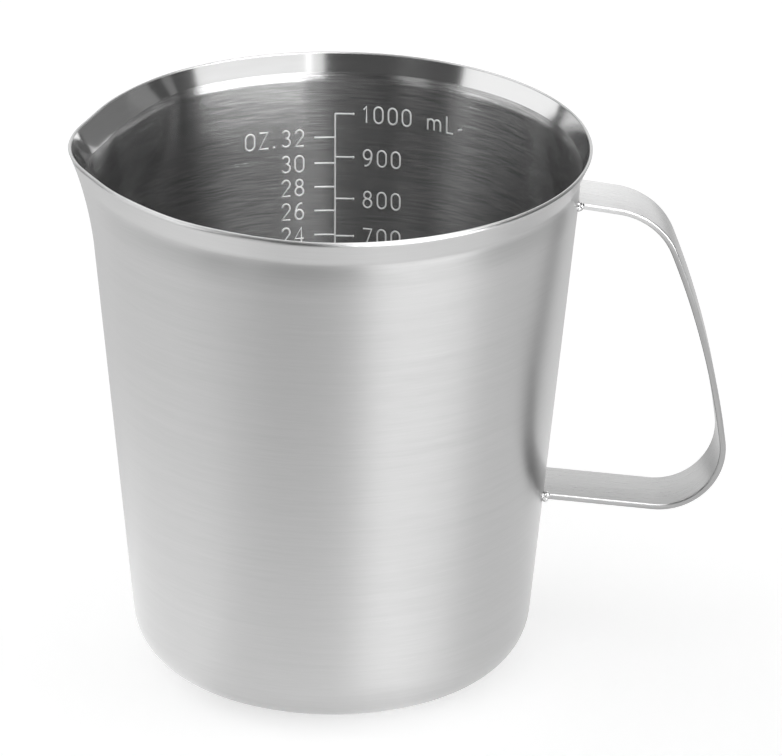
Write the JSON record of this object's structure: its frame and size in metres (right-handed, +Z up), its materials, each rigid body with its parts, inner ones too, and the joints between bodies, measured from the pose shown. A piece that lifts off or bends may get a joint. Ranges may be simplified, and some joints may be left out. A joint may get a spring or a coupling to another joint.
{
  "type": "measuring jug",
  "caption": "Tapered sheet steel measuring jug with a flared lip, a pressed pour spout and a welded strap handle, for measuring and pouring liquids.",
  "frame": {"origin": "centre of the base's underside, on the surface that the jug stands on and on the cup's axis", "axes": "+Z up along the cup's axis, +X towards the handle, -X towards the spout"},
  "size_m": [0.1593, 0.124, 0.1335],
  "materials": {
    "cup_steel": "brushed round the wall, polished on the lip",
    "strap_steel": "satin, brushed along the strap",
    "weld_metal": "bright weld, lightly ground"
  },
  "bodies": {
    "root": {"cup_body": "cup_steel", "handle_strap": "strap_steel", "upper_weld_front": "weld_metal", "upper_weld_rear": "weld_metal", "lower_weld_front": "weld_metal", "lower_weld_rear": "weld_metal"}
  },
  "joints": []
}
